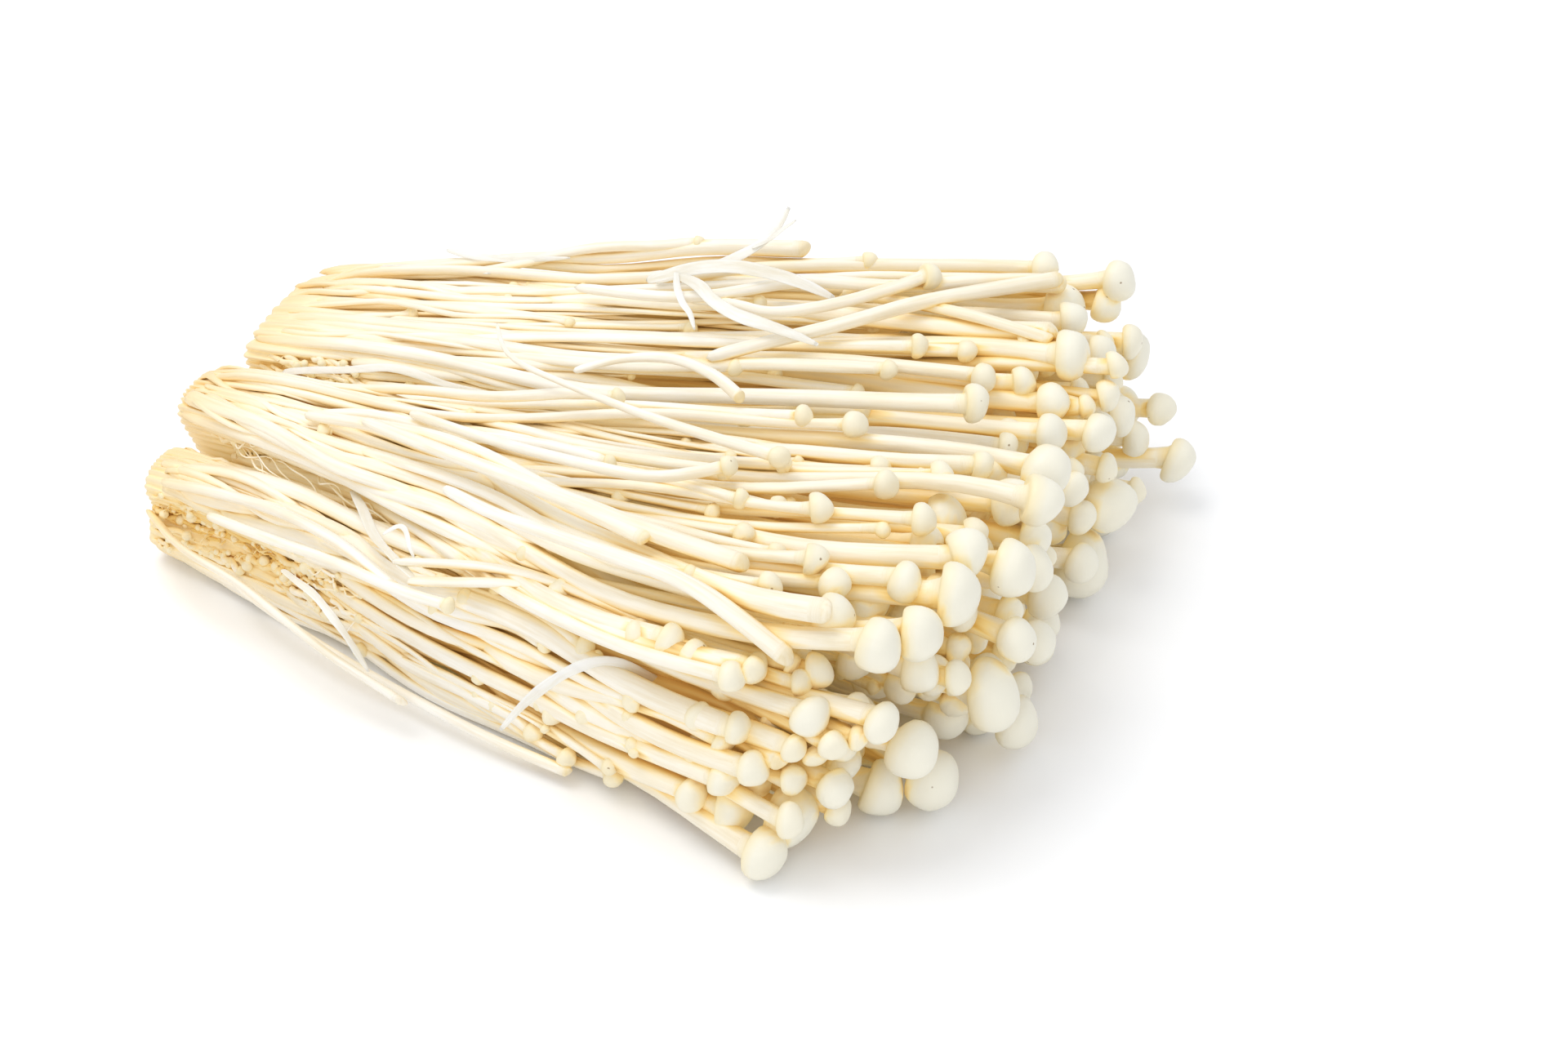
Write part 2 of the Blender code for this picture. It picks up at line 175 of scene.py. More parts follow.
# The full-grown caps that show at the end of the bunch: along, across, up and cap diameter.
END_CAPS = {
    "rear_clump": [
        (45, 62, 35.5, 5.4), (57, 62, 35, 6.8), (55, 58, 30.5, 6.2), (61, 54, 27, 5.2), (57, 34, 36, 7.8),
        (51, 28, 33, 5.4), (56, 27, 31, 6.4), (48, 14, 37, 5.4), (66, 56, 14, 5.4), (64, 49, 12, 5.6),
        (71, 51, 8, 7.0), (62, 34, 23, 6.4), (67, 26, 15, 9.2), (64, 21, 5, 10.8), (68, 36, 11, 4.6),
        (59, 19, 31, 6.2), (63, 43, 20, 6.6), (60, 50, 6, 6.6),
    ],
    "middle_clump": [
        (63, 5, 34, 8.4), (60, -3, 33, 7.4), (54, 0, 36, 4.6), (48, -26, 34, 4.8), (60, -24, 38, 7.4),
        (66, -20, 34, 8.4), (64, -4, 27.5, 7.0), (62, -32.5, 36.5, 9.0), (59, -40, 34.5, 8.2),
        (55, -46.5, 35.5, 7.8), (58, -37, 25.5, 6.8), (69, -25, 25, 6.8), (67, -29, 17.5, 10.4),
        (67, -11, 28, 6.6), (68, -20.5, 6, 7.4), (66, -2, 16, 7.2), (68, -12, 15, 6.8), (63, 3, 6, 7.4),
    ],
    "front_clump": [
        (41, -49, 20, 7.0), (45, -43, 18.5, 6.4), (37.5, -56.5, 22, 4.8), (31, -57.5, 21, 4.6),
        (36, -60, 13.5, 5.6), (45, -54, 7, 9.2), (43.5, -62, 4.3, 7.4), (54, -41, 5, 8.2),
        (61, -36.5, 5.5, 9.4), (60, -38, 16.5, 8.6), (52, -37, 13, 5.0), (36, -45, 22, 5.2),
        (50, -46, 12, 6.0),
    ],
}

# Short stems with small caps that end on top of the bunch, in the same four values.
TOP_PINS = {
    "rear_clump": [
        (29, 45, 37, 3.8), (16, 56, 33, 3.2), (-12, 49, 33, 2.4), (34, 27, 36, 3.8), (41, 30, 35, 3.8),
        (49, 35, 35, 4.2), (32, 19, 36, 3.2), (46, 24, 35, 4.6), (5, 32, 34, 2.8), (8, 15, 33, 2.8),
    ],
    "middle_clump": [
        (33, 3, 37, 4.4), (25, 2, 37, 3.2), (20, -18, 38, 3.0), (27, -12, 37, 2.8), (44, -14, 39, 4.2),
        (50, -7, 38, 4.6), (37, -23, 39, 4.6), (25, -24, 38, 3.0), (52, -20, 39, 4.8), (41, -35, 39, 4.8),
        (45, -37, 37, 5.0), (37, -42, 38, 4.2), (25, -43, 37, 3.2), (2, -20, 36, 2.6), (-4, -3, 36, 2.6),
    ],
    "front_clump": [
        (10, -50, 23, 3.2), (-12, -46, 22, 2.6), (8, -52, 4, 3.0), (33, -49, 24, 4.6),
    ],
}

# Stems that snapped: they end bare, lie on top of the bunch, and start at another place across.
BROKEN_STEMS = {
    "rear_clump": [(49, 51, 37, 30), (52, 37, 37, 44), (5, 53, 34, 46)],
    "middle_clump": [(47, -47, 40, -18), (40, -43, 30, -20)],
    "front_clump": [(44, -56, 19, -50)],
}

Stem = namedtuple("Stem", "clump tip_at cap root_slot radius wave kind ring")


def between(start, end, share):
    return start + (end - start) * share


def opening(along):
    """How far a clump has opened at this place: 0 at the foot and 1 at the tips."""
    share = (along - FOOT_X) / (TIP_X - FOOT_X)
    return max(share, 0.0) ** 1.12


def leaning(share, above):
    """How much of its full lean a side has: in its upper half it sags most halfway along."""
    share = min(share, 1.0)
    return share * (7 - 6 * share) if above else share


def section(clump, along, up):
    """(front side, rear side, height) of a clump's cross-section, at one place and height."""
    share = opening(along)
    lean = leaning(share, up > clump.mid_high) * (up - clump.mid_high)
    bulge = max(1 - share, 0) * max(up - BULGES_FROM, 0)
    front = between(clump.foot_front, clump.tip_front, share)
    front += clump.front_lean * lean + clump.front_bulge * bulge
    rear = between(clump.foot_rear, clump.tip_rear, share)
    rear += clump.rear_lean * lean + clump.rear_bulge * bulge
    high = between(clump.foot_high, clump.tip_high, min(share, 1.0) ** 0.8)
    return front, rear, high


def place_at(clump, slot, along):
    """The point at a slot of the cross-section: slot is (-1 to 1 across, 0 to 1 up)."""
    up = slot[1] * section(clump, along, 0)[2]
    front, rear, _ = section(clump, along, up)
    return Vector((along, between(front, rear, (slot[0] + 1) / 2), up))


def slot_of(clump, point):
    """The slot that holds a point."""
    front, rear, high = section(clump, point[0], point[2])
    return (2 * (point[1] - front) / (rear - front) - 1, point[2] / high)


BALL_TURNS = [math.pi * k / 12 for k in range(-5, 6)]  # where a ball is tested against the sides


def held_in(clump, point, radius):
    """The point moved, if need be, so that a ball round it stays in its clump and off the table."""
    up = max(point[2], radius + TABLE_GAP)
    reach = radius + NEIGHBOUR_GAP
    sides = []
    for turn in BALL_TURNS:
        front, rear, _ = section(clump, point[0], up + reach * math.sin(turn))
        sides.append((front + reach * math.cos(turn), rear - reach * math.cos(turn)))
    across = max(point[1], max(front for front, _ in sides))
    return Vector((point[0], min(across, min(rear for _, rear in sides)), up))


def rim_slot(turn, inset):
    """A slot on the rounded outline of the cross-section, moved in by a share of its half size."""
    c, s = math.cos(turn), math.sin(turn)
    reach = (abs(c) ** ROUNDING + abs(s) ** ROUNDING) ** (-1 / ROUNDING) * (1 - inset)
    return (c * reach, 0.5 + 0.5 * s * reach)


def waviness(rng, size):
    return (rng.uniform(-size, size), rng.uniform(0, size), rng.random(), rng.random())


def radius_at(stem, along):
    share = (along - FOOT_X) / (TIP_X - FOOT_X)
    return between(STEM_AT_FOOT, stem.radius, min(max(share, 0.0), 1.0) ** 0.9)


def path_of(stem, shares):
    """Points along a stem's middle, at shares of its length from the foot to under its cap."""
    clump = stem.clump
    tip_slot = slot_of(clump, stem.tip_at)
    points = []
    for share in shares:
        along = between(FOOT_X, stem.tip_at[0], share)
        bend = share * share * (3 - 2 * share)
        slot = [between(a, b, bend) for a, b in zip(stem.root_slot, tip_slot)]
        point = place_at(clump, slot, along)
        sway = math.sin(math.pi * share)
        point.y += stem.wave[0] * sway * math.sin(math.tau * (stem.wave[2] + 1.3 * share))
        point.z += stem.wave[1] * sway * math.sin(math.tau * (stem.wave[3] + 1.1 * share))
        points.append(held_in(clump, point, radius_at(stem, along)))
    return points


def placed_stems(clump):
    """The stems given in the tables: the end caps, the short pins on top and the broken stems."""
    rng = random.Random(clump.name)
    stems = []
    for table, radius, kind in ((END_CAPS, STEM_AT_CAP, "long"), (TOP_PINS, PIN_AT_CAP, "pin")):
        for *tip, cap in table[clump.name]:
            tip = held_in(clump, tip, cap / 2)
            across, up = slot_of(clump, tip)
            root = (between(across, rng.uniform(-0.8, 0.8), 0.15), min(up, 0.94) - 0.02)
            thick = radius * rng.uniform(0.9, 1.12) * (0.75 + 0.04 * cap if kind == "long" else 1)
            stems.append(Stem(clump, tip, cap, root, thick, waviness(rng, 0.7), kind, 0))
    for along, across, up, root_across in BROKEN_STEMS[clump.name]:
        tip = held_in(clump, (along, across, up), STEM_AT_CAP)
        root = (slot_of(clump, (FOOT_X * 0.3, root_across, up))[0], 0.93)
        root = (min(max(root[0], -0.85), 0.85), root[1])
        stems.append(Stem(clump, tip, 0, root, STEM_AT_CAP, waviness(rng, 0.5), "broken", 0))
    return stems


def clear_of(tip, cap, stems):
    """How far a cap is from touching the nearest other cap. It is negative where they overlap."""
    return min((tip - other.tip_at).length - (cap + other.cap) / 2 for other in stems)


TIP_TRIES = 12  # how many places are tried for a cap
ROOM_ENOUGH = 0.3  # unless one before lies this far from the nearest other cap


def grown_stems(clump, stems):
    """The other stems of a clump, ring by ring from its outside in, fitted between those in stems."""
    rng = random.Random(clump.name + " grown")
    grown = []
    for ring, count in enumerate(clump.ring_counts):
        for i in range(count):
            turn = math.tau * (i + rng.uniform(0.3, 0.7)) / count
            slot = rim_slot(turn, 0.06 + 0.24 * ring)
            best = None
            for _ in range(TIP_TRIES):
                short = ring == 0 and rng.random() < 0.3
                ends = between(clump.ends_front, clump.ends_rear, (slot[0] + 1) / 2)
                along = ends + (rng.uniform(-62, -14) if short else rng.uniform(-12, 6))
                cap = rng.uniform(2.4, 4.2) if short else rng.uniform(4.4, 7.8)
                tip = held_in(clump, place_at(clump, slot, along), cap / 2)
                room = clear_of(tip, cap, stems + grown)
                if best is None or room > best[0]:
                    best = (room, tip, cap, "pin" if short else "long")
                if room > ROOM_ENOUGH:
                    break
            room, tip, cap, kind = best
            cap = max(cap + 1.6 * min(room, 0), 2.4)
            radius = (PIN_AT_CAP if kind == "pin" else STEM_AT_CAP) * rng.uniform(0.85, 1.1)
            grown.append(Stem(clump, tip, cap, slot, radius, waviness(rng, 0.8), kind, ring))
    return grown


# The two mushrooms that the others are copied from stand straight up. A cap's outline goes from the
# neck to the crown: rise above the neck and radius, per mm of the cap's diameter.
MODEL_LONG = 120.0
MODEL_RADIUS = 1.75
MODEL_CAP = 7.0
NECK_BELOW = 0.30  # how far the neck lies behind the cap's middle, per mm of diameter
CAP_OUTLINE = [(0.04, 0.30), (-0.01, 0.44), (0.10, 0.53), (0.29, 0.54), (0.47, 0.45), (0.60, 0.27)]
CAP_CROWN = 0.67
HEAD_OUTLINE = [(0.0, 0.42), (0.14, 0.53), (0.42, 0.50), (0.60, 0.28)]
HEAD_CROWN = 0.70

# shares are the places of its rings along the stem, 0 at the foot and 1 under the cap.
Shape = namedtuple("Shape", "piece shares outline shrink")


def straight_mushroom(sides, rings, outline, crown):
    """A straight stem cut across into rings, with a cap drawn out of its top face ring by ring."""
    bpy.ops.mesh.primitive_cylinder_add(
        vertices=sides,
        radius=MODEL_RADIUS * MM,
        depth=MODEL_LONG * MM,
        location=(0, 0, MODEL_LONG / 2 * MM),
    )
    bpy.ops.object.transform_apply(location=True, rotation=False, scale=False)
    piece = bpy.context.object
    bpy.ops.object.mode_set(mode="EDIT")
    for k in range(1, rings):
        bpy.ops.mesh.select_all(action="SELECT")
        bpy.ops.mesh.bisect(plane_co=(0, 0, MODEL_LONG * MM * k / rings), plane_no=(0, 0, 1))
    bpy.ops.mesh.select_mode(type="FACE")
    bpy.ops.mesh.select_all(action="DESELECT")
    bpy.ops.object.mode_set(mode="OBJECT")
    max(piece.data.polygons, key=lambda face: face.center.z).select = True
    bpy.ops.object.mode_set(mode="EDIT")
    rise_now, radius_now = 0.0, MODEL_RADIUS
    for rise, radius in [(r * MODEL_CAP, w * MODEL_CAP) for r, w in outline]:
        lift = (0, 0, (rise - rise_now) * MM)
        bpy.ops.mesh.extrude_region_move(TRANSFORM_OT_translate={"value": lift})
        wider = radius / radius_now
        top = (0, 0, (MODEL_LONG + rise) * MM)
        bpy.ops.transform.resize(value=(wider, wider, 1), center_override=top)
        rise_now, radius_now = rise, radius
    lift = (0, 0, (crown * MODEL_CAP - rise_now) * MM)
    bpy.ops.mesh.extrude_region_move(TRANSFORM_OT_translate={"value": lift})
    bpy.ops.mesh.merge(type="CENTER")
    bpy.ops.object.mode_set(mode="OBJECT")
    shares = [k / rings for k in range(rings + 1)]
    # Subdivision draws a ring of few sides in, so copies are made wider by as much.
    return Shape(piece, shares, outline, 1 / (0.75 + 0.25 * math.cos(math.tau / sides)))


def frame_round(heading):
    """Two directions square to a heading: one as upright as it can be, and one sideways."""
    heading = heading.normalized()
    upright = (Vector((0, 0, 1)) - heading * heading.z).normalized()
    return upright, heading.cross(upright)


def depth_inside(clump, points):
    """How deep inside a clump points are: 0 on its outline, and 1 from halfway in."""
    depths = []
    for x, y, z in points:
        front, rear, high = section(clump, x, z)
        across, up = abs(2 * (y - front) / (rear - front) - 1), abs(2 * z / high - 1)
        reach = (across**ROUNDING + up**ROUNDING) ** (1 / ROUNDING)
        end = between(clump.ends_front, clump.ends_rear, (y - front) / (rear - front))
        from_end = min(max((end + 6 - x) / 20, 0), 1)
        depths.append(min(max((0.97 - reach) / 0.35, 0), 1) * from_end)
    return np.array(depths)


def read(mesh, key):
    """The co or the normal of each vertex of a mesh, in rows."""
    values = np.empty(len(mesh.vertices) * 3)
    mesh.vertices.foreach_get(key, values)
    return values.reshape(-1, 3)


def store(mesh, named_values):
    """Stores a number or a vector for each vertex of a mesh, under a name that its material reads."""
    for name, values in named_values.items():
        values = np.ascontiguousarray(values, dtype=np.float32)
        kind, key = ("FLOAT_VECTOR", "vector") if values.ndim == 2 else ("FLOAT", "value")
        mesh.attributes.new(name, kind, "POINT").data.foreach_set(key, values.ravel())


def flattened(turn, twist, wide, thin):
    """Reaches of points round an ellipse: the way it is wide, the way it is thin, to side and to top."""
    reach_wide, reach_thin = wide * np.cos(turn - twist), thin * np.sin(turn - twist)
    to_side = reach_wide * math.cos(twist) - reach_thin * math.sin(twist)
    to_top = reach_wide * math.sin(twist) + reach_thin * math.cos(twist)
    return reach_wide, reach_thin, to_side, to_top


def grow(shape, clump, path, wide, thin, twist, cap, rng, tall=1.0):
    """A copy of a straight mushroom, bent along a path, flattened, and given its own cap and colour.

    wide and thin are its half widths at each point of path. A cap of 0 leaves its end bare.
    """
    grown = shape.piece.copy()
    grown.data = shape.piece.data.copy()
    bpy.context.scene.collection.objects.link(grown)
    mesh = grown.data
    straight = read(mesh, "co") / MM
    rise = straight[:, 2] - MODEL_LONG
    out = np.hypot(straight[:, 0], straight[:, 1])
    turn = np.arctan2(straight[:, 1], straight[:, 0])
    in_cap = (rise > -0.02 * MODEL_CAP) & ~((np.abs(rise) < 0.01) & (out < MODEL_RADIUS * 1.01))
    seed = Vector([rng.uniform(0, 90) for _ in range(3)])

    path = [Vector(point) for point in path]
    axis = (path[-1] - path[-2]).normalized()
    if cap:
        axis += 0.8 * Vector((0, rng.uniform(-0.5, 0.5), rng.uniform(-0.35, 0.25)))
        axis.normalize()
        path[-1] = path[-1] - axis * cap * NECK_BELOW
    last = len(path) - 1
    frames = [frame_round(path[min(k + 1, last)] - path[max(k - 1, 0)]) for k in range(last + 1)]
    ring = np.clip(np.rint(straight[:, 2] / MODEL_LONG * last), 0, last).astype(int)
    centre = np.array(path)[ring]
    upright, sideways = (np.array(directions)[ring] for directions in zip(*frames))
    round_out = shape.shrink * out / MODEL_RADIUS
    reach_wide, reach_thin, to_side, to_top = flattened(
        turn, twist, np.array(wide)[ring] * round_out, np.array(thin)[ring] * round_out
    )
    made = centre + upright * to_top[:, None] + sideways * to_side[:, None]

    up, side = (np.array(v) for v in frame_round(axis))
    if cap:
        dents = [
            noise.noise(Vector((0.9 * math.cos(a), 0.9 * math.sin(a), r * 0.25)) + seed)
            + 0.7 * noise.noise(Vector((2.1 * math.cos(a), 2.1 * math.sin(a), r * 0.7)) - seed)
            for a, r in zip(turn, rise)
        ]
        scale = cap / MODEL_CAP
        beyond = rise * scale * tall * (1 + 0.10 * np.sin(turn + seed.x))
        spread = out * scale * shape.shrink * (1 + 0.22 * np.array(dents))
        spread = spread * (1 + 0.06 * np.sin(2 * turn + seed.y))
        cap_at = np.outer(spread * np.sin(turn), up) + np.outer(spread * np.cos(turn), side)
    else:
        # The bare end is rounded off and slants: its rings are those of the cap, drawn in.
        off = [abs(rise / MODEL_CAP - r) + abs(out / MODEL_CAP - w) for r, w in shape.outline]
        share = (np.argmin(off, axis=0) + 1) / (len(shape.outline) + 1)
        share = np.where(out < 0.01, 1, share)
        ending = np.sqrt(1 - share**2)
        beyond = share * wide[-1] * 0.8 + 0.5 * wide[-1] * ending * np.cos(turn - seed.x) * share
        reach_wide, reach_thin, to_side, to_top = flattened(
            turn, twist, wide[-1] * ending * shape.shrink, thin[-1] * ending * shape.shrink
        )
        cap_at = np.outer(to_top, up) + np.outer(to_side, side)
    cap_at += np.outer(beyond, np.array(axis)) + np.array(path[-1])
    made[in_cap] = cap_at[in_cap]
    made[:, 2] = np.maximum(made[:, 2], TABLE_GAP)
    mesh.vertices.foreach_set("co", (made * MM).ravel())
    mesh.flip_normals()  # the way a stem is bent mirrors it

    # The grain follows the stem: across it in the first two values, and along it in the third.
    length = sum((b - a).length for a, b in zip(path, path[1:]))
    grain = np.column_stack((reach_wide, reach_thin, straight[:, 2] / MODEL_LONG * length))
    grain[in_cap] = made[in_cap]
    store(mesh, {
        "grain": grain + np.array(seed) * 5,
        "foot_to_tip": (made[:, 0] - FOOT_X) / (TIP_X - FOOT_X),
        "cap": in_cap * (1.0 if cap else 0.0),
        "cap_size": np.full(len(made), min(max((cap - 2.5) / 3.5, 0), 1)),
        "cap_underside": np.clip(1 - rise / (0.25 * MODEL_CAP), 0, 1),
        "cut_end": in_cap * (0.0 if cap else rng.uniform(0.1, 0.6)),
        "tone": np.full(len(made), rng.random()),
        # how deep inside its clump each point is, for the painted amber shade
        "buried": depth_inside(clump, made) * np.where(in_cap, 0.6, 1.0),
    })
    return grown


def wandering(path, rng, size):
    """The path with its middle part led up to size mm astray, in one or two slow bends."""
    seed = Vector((rng.uniform(0, 90), rng.uniform(0, 90), 0))
    last = len(path) - 1
    led = []
    for k, point in enumerate(path):
        share = k / last
        astray = noise.noise_vector(seed + Vector((0, 0, 3.4 * share)))
        hold = math.sin(math.pi * share) ** 0.45 if 0 < k < last else 0
        led.append(point + Vector((0, astray.y, 0.6 * astray.z)) * size * hold)
    return led


def turned_slot(slot, turn):
    """A slot moved round the middle of the cross-section."""
    across, up = slot[0], 2 * slot[1] - 1
    c, s = math.cos(turn), math.sin(turn)
    return (across * c - up * s, 0.5 + (across * s + up * c) / 2)


def join_up(parts, name):
    """Makes one piece of several objects."""
    bpy.ops.object.select_all(action="DESELECT")
    for part in parts:
        part.select_set(True)
    bpy.context.view_layer.objects.active = parts[0]
    bpy.ops.object.join()
    joined = bpy.context.object
    joined.name = name
    joined.data.name = name
    return joined


def finish_flesh(piece, material):
    """Rounds a piece off, gives it its material and tells the frame what it is part of."""
    rounder = piece.modifiers.new("Rounder", "SUBSURF")
    rounder.levels = 1
    rounder.render_levels = 1
    bpy.context.view_layer.objects.active = piece
    bpy.ops.object.modifier_apply(modifier=rounder.name)
    piece.data.shade_smooth()
    piece.data.materials.clear()
    piece.data.materials.append(material)
    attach(piece, "root")


def add_node(material, kind, inputs, out=0, stops=(), **settings):
    """Adds a node and returns one of its outputs. stops are a ramp's places and colours."""
    node = material.node_tree.nodes.new("ShaderNode" + kind)
    for name, value in settings.items():
        setattr(node, name, value)
    set_sockets(material, node, inputs)
    marks = node.color_ramp.elements if stops else ()
    while len(marks) < len(stops):
        marks.new(0.5)
    for mark, (place, color) in zip(marks, stops):
        mark.position = place
        mark.color = (*srgb(color), 1)
    return node.outputs[out]


# Mushroom flesh: moist and satin, with painted amber shade deep inside the clumps and painted gold shade and
# glow in the gaps. Streaks run along the stems; the foot is tan, the caps whitest.
flesh, shader = new_material("enoki_flesh")
grain = add_node(flesh, "Attribute", {}, "Vector", attribute_name="grain")
foot_to_tip, in_cap, underside, cap_size, tone, buried, cut_end, cut_face, closed_in = [
    add_node(flesh, "Attribute", {}, "Fac", attribute_name=name)
    for name in (
        "foot_to_tip cap cap_underside cap_size tone buried cut_end cut_face closed_in".split()
    )
]
# The sockets of a Mix node: the share of the second colour, the two colours, and the result.
SHARE, FIRST, SECOND, MIXED = 0, 6, 7, 2

# Fibres nearly a millimetre apart, drawn coarser than the real ones so that they show, and fifteen
# times as long along the stem. Pale stains are a centimetre wide.
along_fibres = add_node(flesh, "Mapping", {"Vector": grain, "Scale": (1, 1, 1 / 15)})
fibres = add_node(flesh, "TexNoise", {"Vector": along_fibres, "Scale": 1.1, "Detail": 4, "Roughness": 0.6})
streaks = add_node(flesh, "ValToRGB", {"Fac": fibres}, stops=[(0.34, "#EBDDBB"), (0.56, "#FFFFFF")])
blotches = add_node(flesh, "TexNoise", {"Vector": grain, "Scale": 0.10, "Detail": 3, "Roughness": 0.55})
stains = add_node(flesh, "ValToRGB", {"Fac": blotches}, stops=[(0.50, "#000000"), (0.75, "#999999")])
furrows = add_node(flesh, "Bump", {"Height": fibres, "Strength": 0.3, "Distance": 0.0002})

along_color = add_node(
    flesh, "ValToRGB", {"Fac": foot_to_tip},
    stops=[(0.0, "#F0CD8E"), (0.04, "#F5E1B8"), (0.14, "#F9F2E4"), (0.45, "#FAF7F0"), (0.92, "#F7EFDC")],
)
warmer = add_node(
    flesh, "Mix", {SHARE: 0.24, FIRST: along_color, SECOND: "#F3E2BA"}, MIXED, data_type="RGBA"
)

# Painted shade: deep inside a clump the flesh is tinted amber, as if shaded by the stems around it.
deep_shade_share = add_node(flesh, "MapRange", {"Value": buried, "From Max": 0.5})
painted_deep_shade = add_node(
    flesh, "ValToRGB", {"Fac": buried}, stops=[(0.0, "#FBF3DF"), (0.45, "#F5E1B2"), (1.0, "#EBC878")]
)

# The cut face of a foot shows the ends of the stems in it, each about two millimetres wide.
stem_ends = add_node(flesh, "TexVoronoi", {"Vector": grain, "Scale": 0.55, "Randomness": 0.8})
ends_color = add_node(
    flesh, "ValToRGB", {"Fac": stem_ends}, stops=[(0.05, "#EFD7A6"), (0.35, "#F5E4BE"), (0.62, "#CFA766")]
)

# A few caps have a brown speck, a quarter of a millimetre wide.
specks = add_node(flesh, "TexVoronoi", {"Vector": grain, "Scale": 0.22, "Randomness": 1})
spots = add_node(flesh, "ValToRGB", {"Fac": specks}, stops=[(0.035, "#8A6A3C"), (0.06, "#FFFFFF")])

# Painted shade in the gaps: the flesh is tinted gold and darkened to brown, the more the closer it closes in,
# and sooner at the tips than at the foot. There it also gets a painted glow, a faint emission standing in for
# light spread inside the flesh.
foot_gap_shade, tip_gap_shade, painted_glow = [
    add_node(flesh, "ValToRGB", {"Fac": closed_in}, stops=stops)
    for stops in (
        [(0.45, "#FFFFFF"), (0.68, "#FBF0D8"), (0.84, "#F2DCAC"), (0.96, "#B57F3C")],
        [(0.16, "#FFFFFF"), (0.40, "#F8E5B0"), (0.64, "#E6BE62"), (0.90, "#A06A24")],
        [(0.05, "#000000"), (0.40, "#A89A64"), (0.75, "#948046"), (0.95, "#241B0A")],
    )
]
gap_shade = add_node(
    flesh, "Mix", {SHARE: foot_to_tip, FIRST: foot_gap_shade, SECOND: tip_gap_shade}, MIXED, data_type="RGBA"
)

# Stems and caps are each coloured in layers: the share, the colour and the blend of each. Where a stem was
# broken it has bruised yellow. Caps are cream, and the larger they are the whiter. The amber layer and the
# gap layer are painted shade.
stem_layers = [
    (tone, warmer, "MIX"),
    (0.4, streaks, "MULTIPLY"),
    (stains, "#EFDDB0", "MIX"),
    (deep_shade_share, painted_deep_shade, "MIX"),
    (cut_end, "#E8CC80", "MIX"),
    (cut_face, ends_color, "MIX"),
    (1.0, gap_shade, "MULTIPLY"),
]
cap_layers = [
    (cap_size, "#F1ECDA", "MIX"),
    (underside, "#F1E2B8", "MIX"),
    (0.8, spots, "MULTIPLY"),
    (0.6, gap_shade, "MULTIPLY"),
]
layered = []
for color, layers in ((along_color, stem_layers), ("#F3E7C6", cap_layers)):
    for share, over, blend in layers:
        below = {SHARE: share, FIRST: color, SECOND: over}
        color = add_node(flesh, "Mix", below, MIXED, data_type="RGBA", blend_type=blend)
    layered.append(color)
color = add_node(
    flesh, "Mix", {SHARE: in_cap, FIRST: layered[0], SECOND: layered[1]}, MIXED, data_type="RGBA"
)
set_sockets(flesh, shader, {
    "Base Color": color,
    "Roughness": 0.42,
    "IOR": 1.38,
    "Normal": furrows,
    # The painted glow: a faint emission in the gaps, where the stems close in.
    "Emission Color": painted_glow,
    "Emission Strength": 0.26,
})
flesh.cycles.emission_sampling = "NONE"

# Hollows in the sides of the clumps near the foot, where stems broke away: the clump, the place
# along, the way round the section, the half length, the half turn, and the depth.
HOLLOWS = [
    ("front_clump", -62, 3.0, 17, 0.58, 5.0),
    ("middle_clump", -65, 2.75, 7, 0.32, 2.4),
    ("rear_clump", -67, 2.55, 8, 0.34, 3.0),
]

# How many times wider than thick a clump's outer stems may be at the foot, where they run together,
# how stout its stems are, and how many millimetres they stray from straight.
FUSED_WIDTH = {"rear_clump": 1.7, "middle_clump": 2.2, "front_clump": 2.3}
STOUTNESS = {"rear_clump": 0.94, "middle_clump": 0.94, "front_clump": 0.98}
STRAYING = {"rear_clump": 5.4, "middle_clump": 6.0, "front_clump": 7.5}

STARTS_AT = (0.5, 7.0)  # how far from the cut the outer stems come out of the fused foot
STARTS_BELOW = 1.1  # and how deep in it they start


def way_round(slot):
    """The way round the section, as an angle, at which a slot lies."""
    return math.atan2(2 * slot[1] - 1, slot[0]) % math.tau


def hollowed(clump, point):
    """The point moved in where its clump has a hollow."""
    front, rear, high = section(clump, point.x, point.z)
    turn = way_round(slot_of(clump, point))
    push = 0
    for name, along, way, half_long, half_turn, deep in HOLLOWS:
        if name == clump.name:
            off = ((point.x - along) / half_long) ** 2 + ((turn - way) / half_turn) ** 2
            push += deep * math.exp(-off)
    inward = Vector((0, (front + rear) / 2 - point.y, high / 2 - point.z)).normalized()
    return point + inward * push


